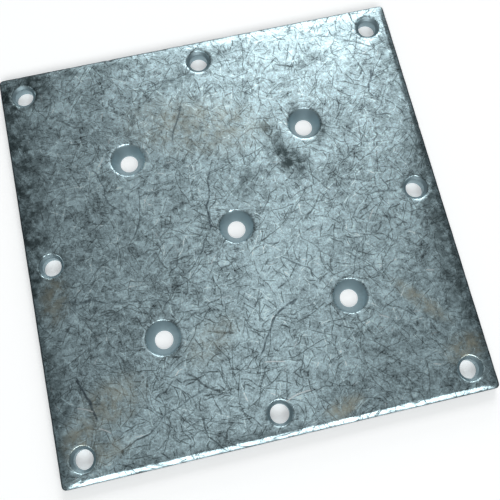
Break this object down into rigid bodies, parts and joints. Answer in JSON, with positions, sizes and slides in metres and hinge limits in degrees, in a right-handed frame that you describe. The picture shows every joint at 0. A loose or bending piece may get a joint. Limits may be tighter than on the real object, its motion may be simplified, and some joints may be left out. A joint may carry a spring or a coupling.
{
  "type": "square cover plate",
  "caption": "Square zinc-plated steel cover plate with holes along its edges and countersunk screw holes across its middle.",
  "frame": {"origin": "middle of the underside", "axes": "+X and +Y along the sides, +Z out of the countersunk face"},
  "size_m": [0.15, 0.15, 0.005],
  "materials": {
    "zinc_plated_steel": "bright zinc plating, scratched and stained"
  },
  "bodies": {
    "root": {"cover_plate": "zinc_plated_steel"}
  },
  "joints": []
}
